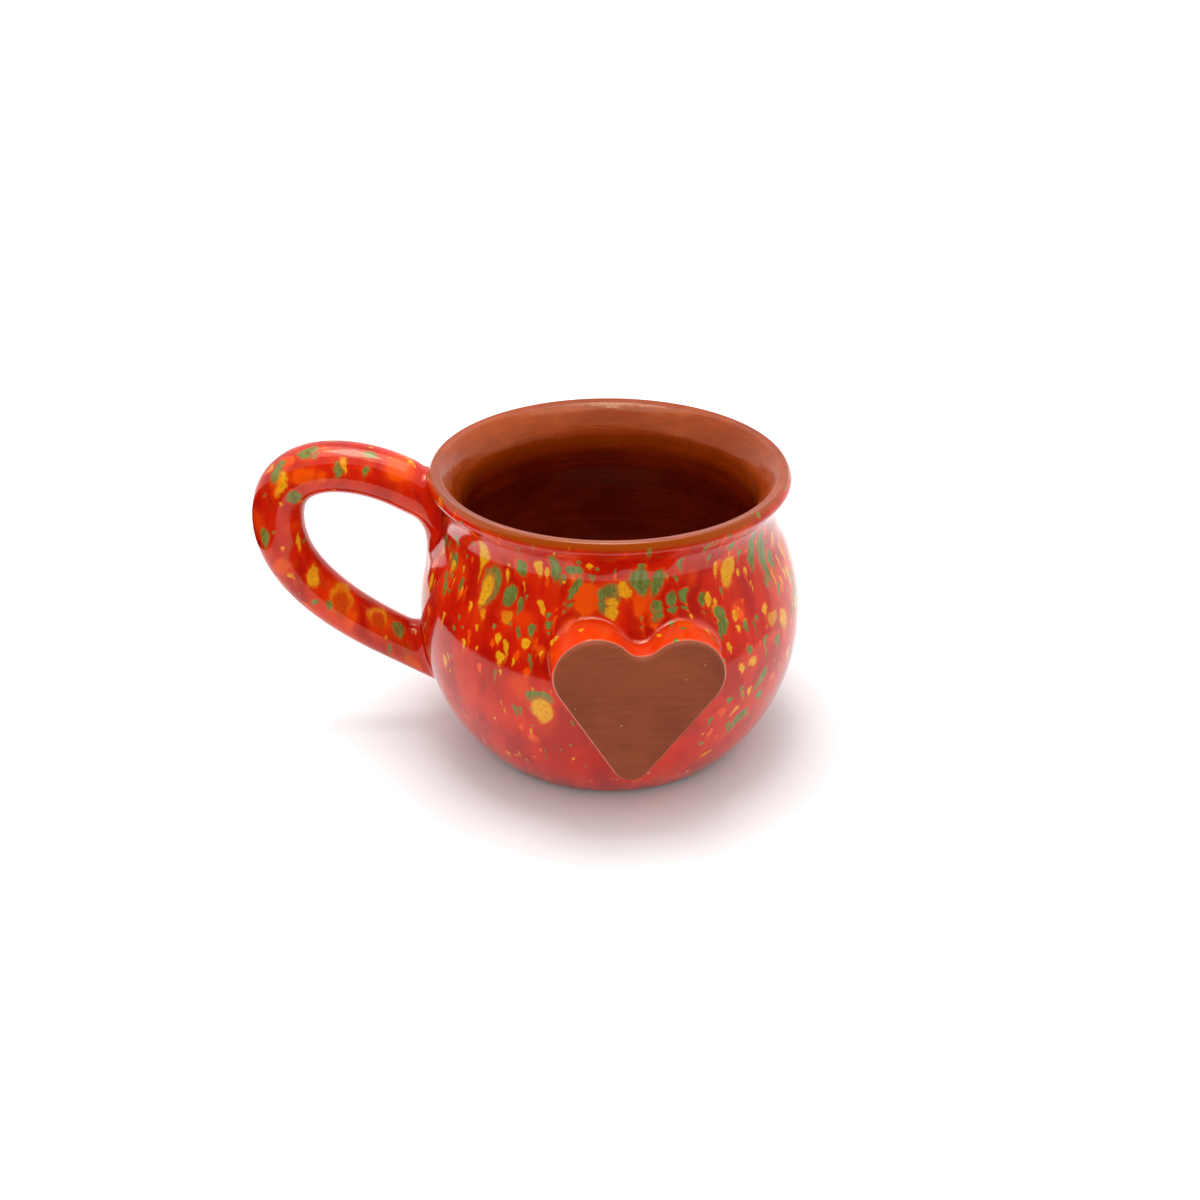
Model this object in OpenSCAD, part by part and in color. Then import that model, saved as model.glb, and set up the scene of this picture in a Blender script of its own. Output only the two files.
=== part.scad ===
// Round-bellied clay mug: a thrown pot with a drawn-in neck and a flared lip, an ear-shaped
// coil handle and a heart cut from a slab, both luted on with slip, and thin coats of glaze.
// Millimetres, +Z up. The foot's centre is the origin, the handle points to -X, the heart to -Y.

/* [Pot] */
// Outside diameter of the clay belly, which is part of a ball
belly_d = 95.2; // [88:0.1:104]
// Diameter of the flat foot it stands on
foot_d = 65; // [54:0.5:72]
// How far the neck is drawn in from the belly, on each side
neck_in = 6.8; // [4:0.1:10]
// Radius of the hollow curve that leads from the belly into the neck
neck_curve = 18; // [12:0.5:26]
// Height of the flare, from the neck's waist to the outer edge of the lip
flare_h = 7.6; // [5:0.1:10]
// How far the lip stands out from the neck, on each side
lip_flare = 2.8; // [1.5:0.1:4]
// Thickness of the rounded lip
lip_t = 3.2; // [2.4:0.1:4]
// Thickness of the clay wall
wall_t = 4.2; // [3.4:0.1:5.5]
// Thickness of the clay floor
floor_t = 6; // [4:0.5:9]
// Radius of the curve between floor and wall, inside
floor_curve = 9; // [5:0.5:14]

/* [Handle] */
// Thickness of the clay coil from its upper root to its outermost point
handle_d = 12; // [9:0.1:15]
// Thickness of the clay coil at its lower root
handle_low_d = 11; // [9:0.1:14]
// How far the coil's centre line stands out from the belly
handle_reach = 34.4; // [28:0.1:42]
// Height of the upper root's centre below the lip's crest
upper_root_drop = 9.6; // [9:0.1:13]
// Height of the lower root's centre above the table
lower_root_z = 21.2; // [15:0.1:27]
// Height of the outermost point of the loop below the upper root's centre
outer_drop = 5; // [0:0.5:12]
// Rise of the coil as it leaves the upper root, in degrees
upper_angle = 29; // [10:1:40]
// Rise of the coil as it leaves the lower root, in degrees
lower_angle = 30; // [15:1:45]
// Length over which the coil keeps its upper slope
upper_arm = 13.5; // [8:0.5:18]
// Length over which the coil hangs straight above its outermost point
crown_arm = 18.4; // [10:0.1:22]
// Length over which the coil hangs straight below its outermost point
waist_arm = 15.6; // [10:0.1:20]
// Length over which the coil keeps its lower slope
lower_arm = 11.7; // [6:0.1:16]
// Reach of the smoothed clay under the upper root
upper_web = 8; // [4:0.5:11]
// Reach of the smoothed clay inside the lower root
lower_web = 3; // [2:0.5:6]
// Reach of the smoothed clay on the outer side of both roots
root_edge = 1.5; // [1:0.1:3]

/* [Heart] */
// Width across both lobes
heart_w = 39; // [32:0.5:44]
// Height from the tip to the top of the lobes
heart_h = 37.2; // [32:0.1:42]
// Radius of the lobes
lobe_r = 9.3; // [8.5:0.1:10.5]
// Radius of the rounded tip
tip_r = 4.5; // [2:0.1:6]
// Radius of the dip between the lobes
dip_r = 5; // [4:0.1:8]
// How far the flat face stands out from the belly
heart_proud = 4.9; // [3:0.1:9]
// Height of the tip above the table
heart_z = 16.8; // [10:0.1:20]
// Lean of the heart to the right, in degrees
heart_lean = 4; // [-10:1:10]
// How far round the heart sits from square to the handle, in degrees
heart_turn = 6; // [-12:1:12]

/* [Glaze and slip] */
// Thickness of the glaze coats and of the slip under each joint
coat = 0.4; // [0.3:0.05:0.8]
// Height of the bare clay at the foot
foot_bare = 1.2; // [0.6:0.1:3]
// How far below the widest point of the lip the glaze stops
lip_bare = 0.2; // [0.1:0.1:1]
// Width of the bare clay round the edge of the heart's face
face_bare = 0.6; // [0.3:0.1:1.5]
// Gap that keeps neighbouring pieces from cutting into each other
joint_gap = 0.06; // [0.04:0.01:0.1]

/* [Hidden] */
$fn = 96;

CLAY = "sienna";
SLIP = "peru";
RED = "firebrick";
CLEAR = "saddlebrown";
POT_STEP = 4;
LIP_STEP = 18;
HEART_STEP = 9;

// Points along an arc, one for each step in degrees or less
function arc(centre, r, from, to, step) =
    let (n = max(2, ceil(abs(to - from) / step)))
    [for (i = [0:n]) let (a = from + (to - from) * i / n) centre + r * [cos(a), sin(a)]];

// Several arcs run together, each without the point that the next one starts with
function run_on(arcs) = [for (i = [0:len(arcs) - 1])
    each i == len(arcs) - 1 ? arcs[i] : [for (k = [0:len(arcs[i]) - 2]) arcs[i][k]]];
function reversed(list) = [for (i = [len(list) - 1:-1:0]) list[i]];

// Belly: a ball, cut by the table where it is as wide as the foot
belly_r = belly_d / 2;
foot_r = foot_d / 2;
belly_z = sqrt(belly_r ^ 2 - foot_r ^ 2);
belly_centre = [0, belly_z];
inner_r = belly_r - wall_t;

// Neck: a hollow arc that touches the belly and has its waist at the neck's radius
neck_r = belly_r - neck_in;
neck_x = neck_r + neck_curve;
neck_z = belly_z + sqrt((belly_r + neck_curve) ^ 2 - neck_x ^ 2);
neck_centre = [neck_x, neck_z];
seam_angle = atan2(neck_z - belly_z, neck_x);

// Flare: an arc from the waist out to the lip, and the roll that ends it
flare_r = (lip_flare ^ 2 + flare_h ^ 2) / (2 * lip_flare);
flare_centre = [neck_r + flare_r, neck_z];
flare_angle = asin(flare_h / flare_r);
lip_out = [neck_r + lip_flare, neck_z + flare_h];
lip_inward = [-cos(flare_angle), sin(flare_angle)];
lip_centre = lip_out + lip_inward * lip_t / 2;
lip_in = lip_out + lip_inward * lip_t;
pot_h = lip_centre[1] + lip_t / 2;
glaze_top = lip_centre[1] - lip_bare;

// Throat: the inside of the flare, from the wall at the waist to the inner edge of the lip
throat_r = neck_r - wall_t;
throat_out = lip_in[0] - throat_r;
throat_h = lip_in[1] - neck_z;
throat_curve = (throat_out ^ 2 + throat_h ^ 2) / (2 * throat_out);
throat_centre = [throat_r + throat_curve, neck_z];
throat_angle = asin(throat_h / throat_curve);

// Radius of the pot's outside, with the given coat on it, at a height up to the lip's widest point
function wall_r(z, grow = 0) =
    z <= belly_z + (belly_r + grow) * sin(seam_angle) ? sqrt((belly_r + grow) ^ 2 - (z - belly_z) ^ 2)
    : z <= neck_z ? neck_x - sqrt((neck_curve - grow) ^ 2 - (z - neck_z) ^ 2)
    : z <= lip_out[1] - grow * lip_inward[1]
        ? flare_centre[0] - sqrt((flare_r - grow) ^ 2 - (z - neck_z) ^ 2)
    : lip_centre[0] + sqrt((lip_t / 2 + grow) ^ 2 - (min(z, lip_centre[1]) - lip_centre[1]) ^ 2);

// Angle on the lip's roll at which a coat reaches the upper edge of the glaze
function glaze_turn(grow) = asin(-lip_bare / (lip_t / 2 + grow));

// The outside, with the given coat, from the lower to the upper edge of the glaze
function belly_turn(grow, z) = asin((z - belly_z) / (belly_r + grow));
function outside(grow = 0) = run_on([
    arc(belly_centre, belly_r + grow, belly_turn(grow, foot_bare), seam_angle, POT_STEP),
    arc(neck_centre, neck_curve - grow, 180 + seam_angle, 180, POT_STEP),
    arc(flare_centre, flare_r - grow, 180, 180 - flare_angle, POT_STEP),
    arc(lip_centre, lip_t / 2 + grow, -flare_angle, glaze_turn(grow), LIP_STEP)]);

// The inside from the lip's inner edge down to the middle of the floor, drawn in by the given coat
function inside(shrink = 0) =
    let (ball = inner_r - shrink,
         bowl = floor_curve - shrink,
         bowl_z = floor_t + floor_curve,
         bowl_x = sqrt((ball - bowl) ^ 2 - (belly_z - bowl_z) ^ 2),
         bowl_end = atan2(bowl_z - belly_z, bowl_x))
    concat(run_on([
        arc(throat_centre, throat_curve + shrink, 180 - throat_angle, 180, POT_STEP),
        arc(neck_centre, neck_curve + wall_t + shrink, 180, 180 + seam_angle, POT_STEP),
        arc(belly_centre, ball, seam_angle, bowl_end, POT_STEP),
        arc([bowl_x, bowl_z], bowl, bowl_end, -90, LIP_STEP)]), [[0, floor_t + shrink]]);

// A half section turned about the pot's axis, with the seam of its surfaces at the back
module spun(points) {
    rotate(-90) rotate_extrude() polygon(points);
}

// The layer that glaze and slip share on the outside
module outer_layer() {
    spun(concat(outside(coat), reversed(outside())));
}

// The pot with its coat, as one filled solid, which the applied pieces are cut to
module coated_pot() {
    spun(concat([[0, foot_bare]], outside(coat), [[0, glaze_top]]));
}

// Handle: the centre line is a straight root, two curves that meet at the outermost point,
// and another straight root. Its points are (distance from the pot's axis, height).
upper_root_z = pot_h - upper_root_drop;
upper_way = [cos(upper_angle), sin(upper_angle)];
lower_way = [cos(lower_angle), sin(lower_angle)];
upper_root = [wall_r(upper_root_z, coat), upper_root_z];
lower_root = [wall_r(lower_root_z, coat), lower_root_z];
lower_slope = asin((belly_z - lower_root_z) / (belly_r + coat));
upper_run = handle_d / 2 * tan(upper_angle) + lip_flare + root_edge + 3;
lower_run = handle_low_d / 2 * tan(lower_angle + lower_slope) + lower_web + 2;
upper_start = upper_root + upper_way * upper_run;
lower_start = lower_root + lower_way * lower_run;
outer_point = [belly_r + handle_reach, upper_root_z - outer_drop];
crown_curve = [upper_start, upper_start + upper_way * upper_arm, outer_point + [0, crown_arm], outer_point];
waist_curve = [outer_point, outer_point - [0, waist_arm], lower_start + lower_way * lower_arm, lower_start];

CURVE_STEPS = 12;
SIDES = 20;
ROOT_STEPS = 3;
FILLET_STEPS = 5;
CAP_STEPS = 3;
HIT_STEPS = 26;

function unit(v) = v / norm(v);
function curve_point(c, t) =
    c[0] * (1 - t) ^ 3 + c[1] * 3 * t * (1 - t) ^ 2 + c[2] * 3 * t ^ 2 * (1 - t) + c[3] * t ^ 3;
function curve_way(c, t) =
    unit((c[1] - c[0]) * (1 - t) ^ 2 + (c[2] - c[1]) * 2 * t * (1 - t) + (c[3] - c[2]) * t ^ 2);
function turn_of(side) = 360 * side / SIDES;

// One ring of the coil: angle 90 is the outer side of the loop
function coil_ring(point, way, radius) = [for (s = [0:SIDES - 1])
    let (a = turn_of(s), r = point[0] - way[1] * radius * sin(a), z = point[1] + way[0] * radius * sin(a))
    [r, radius * cos(a), z]];

// Where a line from a point, run back along its way, meets the coated wall
function gap_at(p, way, t) = norm([p[0] - t * way[0], p[1]]) - wall_r(p[2] - t * way[1], coat);
function reach_wall(p, way, near, far, n) =
    let (mid = (near + far) / 2)
    n == 0 ? mid
    : gap_at(p, way, mid) > 0 ? reach_wall(p, way, mid, far, n - 1) : reach_wall(p, way, near, mid, n - 1);
function slide(p, way, t) = [p[0] - t * way[0], p[1], p[2] - t * way[1]];
function on_wall(y, z) = [sqrt((wall_r(z, coat) + joint_gap) ^ 2 - y ^ 2), y, z];

// One line of a root, from the coil's last ring down to the wall and out into the smoothed edge.
// It stays under the glaze's upper edge.
function root_line(start, way, centre, fillet, top) =
    let (meet = slide(start, way, reach_wall(start, way, 0, 3 * handle_d, HIT_STEPS)),
         hit = on_wall(meet[1], min(meet[2], top - root_edge)),
         out = unit([hit[1], hit[2] - centre[1]]),
         foot = on_wall(hit[1] + out[0] * fillet, min(hit[2] + out[1] * fillet, top)),
         rise = slide(hit, way, -fillet))
    [for (i = [1:ROOT_STEPS]) start + (rise - start) * i / ROOT_STEPS,
     for (i = [1:FILLET_STEPS]) let (t = i / FILLET_STEPS)
         rise * (1 - t) ^ 2 + hit * 2 * t * (1 - t) + foot * t ^ 2];

// The rings of a root, from the coil to the wall. The web is on the inner side of the loop,
// which is below the upper root (1) and above the lower one (-1).
function root_rings(start, way, centre, radius, grow, web, inner_side) =
    let (ring = coil_ring(start, way, radius + grow),
         top = glaze_top - joint_gap - coat + grow,
         lines = [for (s = [0:SIDES - 1])
             let (share = (1 - inner_side * sin(turn_of(s))) / 2)
             root_line(ring[s], way, centre, root_edge + (web - root_edge) * share, top)])
    [for (i = [0:ROOT_STEPS + FILLET_STEPS - 1]) [for (s = [0:SIDES - 1]) lines[s][i]]];
function upper_rings(grow) =
    root_rings(upper_start, upper_way, upper_root, handle_d / 2, grow, upper_web, 1);
function lower_rings(grow) =
    root_rings(lower_start, lower_way, lower_root, handle_low_d / 2, grow, lower_web, -1);
function flipped(ring) = [for (s = [0:SIDES - 1]) ring[(SIDES - s) % SIDES]];

// All rings of the handle, with the given coat, from the upper wall round to the lower wall
function handle_rings(grow = 0) = concat(
    reversed(upper_rings(grow)),
    [for (i = [0:CURVE_STEPS - 1]) let (t = i / CURVE_STEPS)
        coil_ring(curve_point(crown_curve, t), curve_way(crown_curve, t), handle_d / 2 + grow)],
    [for (i = [0:CURVE_STEPS]) let (t = i / CURVE_STEPS, d = handle_d + (handle_low_d - handle_d) * t)
        coil_ring(curve_point(waist_curve, t), curve_way(waist_curve, t), d / 2 + grow)],
    [for (ring = lower_rings(grow)) flipped(ring)]);

// Rings that close a root against the wall, from its edge in to near its centre
function cap_rings(edge, centre) = [for (i = [1:CAP_STEPS - 1]) let (k = 1 - i / CAP_STEPS)
    [for (p = edge) on_wall(p[1] * k, centre[1] + (p[2] - centre[1]) * k)]];

function in_place(p) = [-p[0], p[1], p[2]];
function flat_list(rings) = [for (ring = rings, p = ring) in_place(p)];

// Faces between neighbouring rings of a list that starts at the given point number
function band_faces(first, count) = [for (i = [0:count - 2], s = [0:SIDES - 1])
    let (a = first + i * SIDES, b = a + SIDES, n = (s + 1) % SIDES)
    each [[a + s, b + s, a + n], [a + n, b + s, b + n]]];
function turned(faces) = [for (f = faces) [f[0], f[2], f[1]]];

// Faces from one ring to a point in its middle
function fan_faces(first, middle) = [for (s = [0:SIDES - 1]) [first + s, first + (s + 1) % SIDES, middle]];

// Faces between the ends of an outer and an inner skin
function edge_faces(outer, inner) = [for (s = [0:SIDES - 1])
    let (n = (s + 1) % SIDES)
    each [[outer + s, outer + n, inner + s], [outer + n, inner + n, inner + s]]];

// Outline of a root on the wall, seen along X, drawn in by the given gap
module root_outline(edge, centre, inset = 0) {
    polygon([for (p = edge) let (v = [p[1], p[2] - centre[1]]) [0, centre[1]] + v * (1 - inset / norm(v))]);
}

// A root's outline run through the wall on the handle's side
module root_prism(edge, centre, inset = 0) {
    translate([-belly_r - coat - 1, 0, 0])
        rotate([90, 0, 90])
            linear_extrude(belly_r) root_outline(edge, centre, inset);
}

// Heart: two lobes, a tip and a dip, joined by straight sides that touch them
lobe_x = heart_w / 2 - lobe_r;
lobe_y = heart_h - lobe_r;
dip_y = lobe_y + sqrt((lobe_r + dip_r) ^ 2 - lobe_x ^ 2);
side_len = norm([lobe_x, lobe_y - tip_r]);
side_turn = atan2(tip_r - lobe_y, -lobe_x) + acos((lobe_r - tip_r) / side_len);
dip_turn = atan2(dip_y - lobe_y, -lobe_x);

// The heart's outline, widened by the given amount
module heart_outline(grow = 0) {
    translate([0, heart_h / 2])
        rotate(-heart_lean)
            translate([0, -heart_h / 2])
                polygon(concat(
                    run_on([
                        arc([lobe_x, lobe_y], lobe_r + grow, side_turn, dip_turn, HEART_STEP),
                        arc([0, dip_y], dip_r - grow, dip_turn - 180, -dip_turn, HEART_STEP),
                        arc([-lobe_x, lobe_y], lobe_r + grow, 180 - dip_turn, 180 - side_turn, HEART_STEP)]),
                    arc([0, tip_r], tip_r + grow, -180 - side_turn, side_turn, HEART_STEP)));
}

// The heart's outline run out from the pot's axis to the given distance
module heart_prism(reach, grow = 0) {
    rotate(heart_turn)
        translate([0, 0, heart_z])
            rotate([90, 0, 0])
                linear_extrude(reach) heart_outline(grow);
}

face_y = belly_r + heart_proud;
upper_edge = upper_rings(0)[ROOT_STEPS + FILLET_STEPS - 1];
lower_edge = lower_rings(0)[ROOT_STEPS + FILLET_STEPS - 1];

// Thrown clay pot: foot, belly, neck and lip in one piece
module pot_body() {
    color(CLAY) spun(concat([[0, 0]], run_on([
        arc(belly_centre, belly_r, belly_turn(0, 0), belly_turn(0, foot_bare), POT_STEP),
        outside(),
        arc(lip_centre, lip_t / 2, glaze_turn(0), 180 - flare_angle, LIP_STEP),
        inside()])));
}

// Clay coil, bent into an ear and smoothed on to the wall at both ends
module handle() {
    upper_cap = reversed(cap_rings(upper_edge, upper_root));
    lower_cap = [for (ring = cap_rings(lower_edge, lower_root)) flipped(ring)];
    all_rings = concat(upper_cap, handle_rings(), lower_cap);
    last = len(all_rings) * SIDES;
    points = concat(flat_list(all_rings),
        [in_place(on_wall(0, upper_root[1])), in_place(on_wall(0, lower_root[1]))]);
    faces = concat(band_faces(0, len(all_rings)),
        fan_faces(0, last), turned(fan_faces(last - SIDES, last + 1)));
    color(CLAY) polyhedron(points, faces);
}

// Heart cut from a slab of clay, its back shaped to the wall
module heart_plaque() {
    color(CLAY) difference() {
        heart_prism(face_y);
        coated_pot();
    }
}

// Slip that joins the handle's upper root to the wall
module upper_handle_slip() {
    color(SLIP) intersection() {
        outer_layer();
        root_prism(upper_edge, upper_root, joint_gap);
    }
}

// Slip that joins the handle's lower root to the wall
module lower_handle_slip() {
    color(SLIP) intersection() {
        outer_layer();
        root_prism(lower_edge, lower_root, joint_gap);
    }
}

// Slip that joins the heart to the wall
module heart_slip() {
    color(SLIP) intersection() {
        outer_layer();
        heart_prism(face_y, -joint_gap);
    }
}

// Red speckled glaze on the outside of the pot, left off under the joints
module pot_glaze() {
    color(RED) difference() {
        outer_layer();
        heart_prism(face_y);
        root_prism(upper_edge, upper_root);
        root_prism(lower_edge, lower_root);
    }
}

// The same glaze on the handle
module handle_glaze() {
    outer = handle_rings(coat);
    inner = handle_rings();
    last = (len(outer) - 1) * SIDES;
    skin = len(outer) * SIDES;
    faces = concat(band_faces(0, len(outer)), turned(band_faces(skin, len(inner))),
        edge_faces(0, skin), turned(edge_faces(last, skin + last)));
    color(RED) polyhedron(concat(flat_list(outer), flat_list(inner)), faces);
}

// The same glaze on the heart's edge, wiped off at its face
module heart_glaze() {
    color(RED) difference() {
        heart_prism(face_y - face_bare, coat);
        heart_prism(face_y);
        coated_pot();
    }
}

// Clear glaze that lines the inside up to the lip
module inside_glaze() {
    color(CLEAR) spun(concat(inside(), reversed(inside(coat))));
}

pot_body();
handle();
heart_plaque();
upper_handle_slip();
lower_handle_slip();
heart_slip();
pot_glaze();
handle_glaze();
heart_glaze();
inside_glaze();
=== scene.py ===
from math import acos, asin, atan2, ceil, cos, degrees, hypot, pi, radians, sin, sqrt, tan
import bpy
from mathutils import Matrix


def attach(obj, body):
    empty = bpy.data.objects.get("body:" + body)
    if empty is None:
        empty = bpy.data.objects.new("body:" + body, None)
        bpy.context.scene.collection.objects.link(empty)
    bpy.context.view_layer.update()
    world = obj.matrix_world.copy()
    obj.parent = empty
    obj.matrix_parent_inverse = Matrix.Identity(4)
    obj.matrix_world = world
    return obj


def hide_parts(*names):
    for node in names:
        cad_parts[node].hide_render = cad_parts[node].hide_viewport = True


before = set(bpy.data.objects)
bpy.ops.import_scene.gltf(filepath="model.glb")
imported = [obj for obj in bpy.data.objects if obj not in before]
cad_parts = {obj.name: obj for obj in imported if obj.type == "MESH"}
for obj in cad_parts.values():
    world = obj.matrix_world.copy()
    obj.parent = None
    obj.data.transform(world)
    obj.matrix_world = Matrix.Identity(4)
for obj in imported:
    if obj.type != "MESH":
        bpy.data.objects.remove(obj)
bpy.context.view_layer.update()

from types import SimpleNamespace

import bmesh
import bpy
import numpy as np
from mathutils import Vector

# Thrown pot. Red earthenware turned on a wheel, with a ball-shaped belly on a flat foot, a
# drawn-in neck and a flared, rolled lip. Bare clay shows only at the foot and on the lip.
# Sizes are in millimetres, and a half section's points are (distance from the axis, height).

MM = 0.001
belly_r, foot_r, foot_edge = 47.6, 32.5, 0.7
neck_in, neck_curve = 6.8, 18
flare_h, lip_flare, lip_r = 7.6, 2.8, 1.6
wall_t, floor_t, floor_curve = 4.2, 6, 9
out_of_round, oval_turn = 0.2, 0.9


def on_arc(centre, radius, turns):
    """Points on an arc about a centre, at angles in degrees."""
    turns = np.radians(turns)
    return np.stack([centre[0] + radius * np.cos(turns), centre[1] + radius * np.sin(turns)], -1)


def arc(centre, radius, start, end, step):
    """Points along an arc, in degrees, without the last one, which the next arc starts with."""
    count = max(2, ceil(abs(end - start) / step))
    return on_arc(centre, radius, start + (end - start) * np.arange(count) / count)


belly_z = sqrt(belly_r**2 - foot_r**2)
neck_r = belly_r - neck_in
neck_x = neck_r + neck_curve
neck_z = belly_z + sqrt((belly_r + neck_curve) ** 2 - neck_x**2)
seam_turn = degrees(atan2(neck_z - belly_z, neck_x))
flare_curve = (lip_flare**2 + flare_h**2) / (2 * lip_flare)
flare_turn = degrees(asin(flare_h / flare_curve))
lip_x = neck_r + lip_flare - lip_r * cos(radians(flare_turn))
lip_z = neck_z + flare_h + lip_r * sin(radians(flare_turn))
lip_middle, lip_inner = (lip_x, lip_z), 180 - flare_turn
lip_in = on_arc(lip_middle, lip_r, lip_inner)
throat_r = neck_r - wall_t
throat_out, throat_h = lip_in[0] - throat_r, lip_in[1] - neck_z
throat_curve = (throat_out**2 + throat_h**2) / (2 * throat_out)
throat_turn = degrees(asin(throat_h / throat_curve))


def outside(grow, low_z, lip_end):
    """The outside under a coat, from a height at the foot up to an angle on the lip's roll."""
    low = degrees(asin((low_z - belly_z) / (belly_r + grow)))
    return np.vstack([
        arc((0, belly_z), belly_r + grow, low, seam_turn, 1.5),
        arc((neck_x, neck_z), neck_curve - grow, 180 + seam_turn, 180, 2),
        arc((neck_r + flare_curve, neck_z), flare_curve - grow, 180, lip_inner, 2.5),
        arc(lip_middle, lip_r + grow, -flare_turn, lip_end, 7),
    ])


def inside(shrink):
    """The inside from the lip's inner edge down to the middle of the floor, drawn in by a coat."""
    ball, bowl = belly_r - wall_t - shrink, floor_curve - shrink
    bowl_z = floor_t + floor_curve
    bowl_x = sqrt((ball - bowl) ** 2 - (belly_z - bowl_z) ** 2)
    bowl_turn = degrees(atan2(bowl_z - belly_z, bowl_x))
    floor_line = np.linspace(bowl_x, 0, 14)
    return np.vstack([
        arc((throat_r + throat_curve, neck_z), throat_curve + shrink, 180 - throat_turn, 180, 2.5),
        arc((neck_x, neck_z), neck_curve + wall_t + shrink, 180, 180 + seam_turn, 2),
        arc((0, belly_z), ball, seam_turn, bowl_turn, 1.5),
        arc((bowl_x, bowl_z), bowl, bowl_turn, -90, 5),
        np.column_stack([floor_line, np.full_like(floor_line, floor_t + shrink)]),
    ])


class Value:
    """One output of a node. Sums on it add Math nodes, and an index gives its node's other outputs."""

    def __init__(self, socket):
        self.socket, self.tree = socket, socket.id_data

    def __getitem__(self, output):
        return Value(self.socket.node.outputs[output])

    def __add__(self, other):
        return calc("ADD", self, other)

    def __sub__(self, other):
        return calc("SUBTRACT", self, other)

    def __rsub__(self, other):
        return calc("SUBTRACT", other, self)

    def __mul__(self, other):
        return calc("MULTIPLY", self, other)

    def __truediv__(self, other):
        return calc("DIVIDE", self, other)

    def __gt__(self, other):
        return calc("GREATER_THAN", self, other)


def fill(node, sockets):
    """Links or sets a node's inputs, by name or by number."""
    for key, value in sockets.items() if isinstance(sockets, dict) else enumerate(sockets):
        if isinstance(value, Value):
            value.tree.links.new(value.socket, node.inputs[key])
        else:
            node.inputs[key].default_value = value


def put(tree, kind, sockets=(), output=0, **options):
    """Adds a node, sets its options, fills its inputs, and gives one of its outputs."""
    node = tree.nodes.new(kind)
    for name, value in options.items():
        setattr(node, name, value)
    fill(node, sockets)
    return Value(node.outputs[output]) if node.outputs else None


def tree_of(values):
    return next(value.tree for value in values if isinstance(value, Value))


def calc(operation, *values):
    """Adds a Math node, or a Vector Math node where one of the values is a vector."""
    kinds = [value.socket.type if isinstance(value, Value) else type(value) for value in values]
    kind = "ShaderNodeVectorMath" if "VECTOR" in kinds or tuple in kinds else "ShaderNodeMath"
    return put(tree_of(values), kind, values, operation=operation)


def split(where):
    return put(where.tree, "ShaderNodeSeparateXYZ", [where])


def xyz(*sides):
    return put(tree_of(sides), "ShaderNodeCombineXYZ", sides)


def noise(where, scale, detail=2.0, roughness=0.5, output=0):
    grain = {"Vector": where, "Scale": scale, "Detail": detail, "Roughness": roughness}
    return put(where.tree, "ShaderNodeTexNoise", grain, output)


def inlets(tree, *sockets, gives=("Clay", "Geometry")):
    """Gives a tree its named inputs, each with a kind and a default, and its one output."""
    for name, kind, value in sockets:
        socket = tree.interface.new_socket(name, in_out="INPUT", socket_type="NodeSocket" + kind)
        if value is not None:
            socket.default_value = value
    tree.interface.new_socket(gives[0], in_out="OUTPUT", socket_type="NodeSocket" + gives[1])
    return put(tree, "NodeGroupInput")


def outlet(tree, shape, finish):
    """Ends a tree: instances made real, and the finish on every face."""
    shape = put(tree, "GeometryNodeSetShadeSmooth", [shape])
    shape = put(tree, "GeometryNodeRealizeInstances", [shape])
    shape = put(tree, "GeometryNodeSetMaterial", {"Geometry": shape, "Material": finish})
    put(tree, "NodeGroupOutput", [shape])


# The wheel turns a half section about the pot's axis. It leaves a spiral of throwing rings and
# a slightly oval pot, and it notes on each point how glaze runs there: round, and up the wall.
facets, ring_pitch, calm_r, flow_r = 192, 5, 20, 44
wheel = bpy.data.node_groups.new("throw_on_the_wheel", "GeometryNodeTree")
given = inlets(
    wheel,
    ("Half Section", "Geometry", None),
    ("Facets", "Int", facets),
    ("Out of Round", "Float", 0.0),
    ("Ring Depth", "Float", 0.0),
    ("Ring Pitch", "Float", ring_pitch * MM),
    ("Flow Radius", "Float", flow_r * MM),
    ("Finish", "Material", None),
)
rows = put(wheel, "GeometryNodeAttributeDomainSize", [given["Half Section"]])
sheet = put(wheel, "GeometryNodeMeshGrid", [1.0, 1.0, given["Facets"] + 1, rows])
place = put(wheel, "GeometryNodeInputPosition")
across, up, _ = split(place)
turn = (across + 0.5) * (2 * pi)
row = calc("ROUND", (up + 0.5) * (rows - 1))
point = put(wheel, "GeometryNodeSampleIndex", [given["Half Section"], place, row], data_type="FLOAT_VECTOR")
rise = put(wheel, "GeometryNodeInputNamedAttribute", ["rise"])
risen = put(wheel, "GeometryNodeSampleIndex", [given["Half Section"], rise, row])
section_r, _, section_z = split(point)
round_way = xyz(calc("COSINE", turn), calc("SINE", turn), 0.0)
spiral = section_z / given["Ring Pitch"] * (2 * pi) + turn
press = noise(round_way + xyz(0.0, 0.0, section_z * 90.0), 1.3)
ring = calc("SINE", spiral) * press * given["Ring Depth"]
oval = calc("COSINE", turn * 2.0 + oval_turn) * given["Out of Round"]
off_axis = calc("MINIMUM", section_r / (calm_r * MM), 1.0)
radius = section_r + (ring + oval) * off_axis
flow = round_way * given["Flow Radius"] + xyz(0.0, 0.0, risen)
thrown = put(wheel, "GeometryNodeStoreNamedAttribute", {"Geometry": sheet, "Name": "flow", "Value": flow},
             data_type="FLOAT_VECTOR")
thrown = put(wheel, "GeometryNodeSetPosition", {
    "Geometry": thrown, "Position": round_way * radius + xyz(0.0, 0.0, section_z)})
thrown = put(wheel, "GeometryNodeMergeByDistance", {"Geometry": thrown, "Distance": 1e-6})
outlet(wheel, thrown, given["Finish"])


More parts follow.
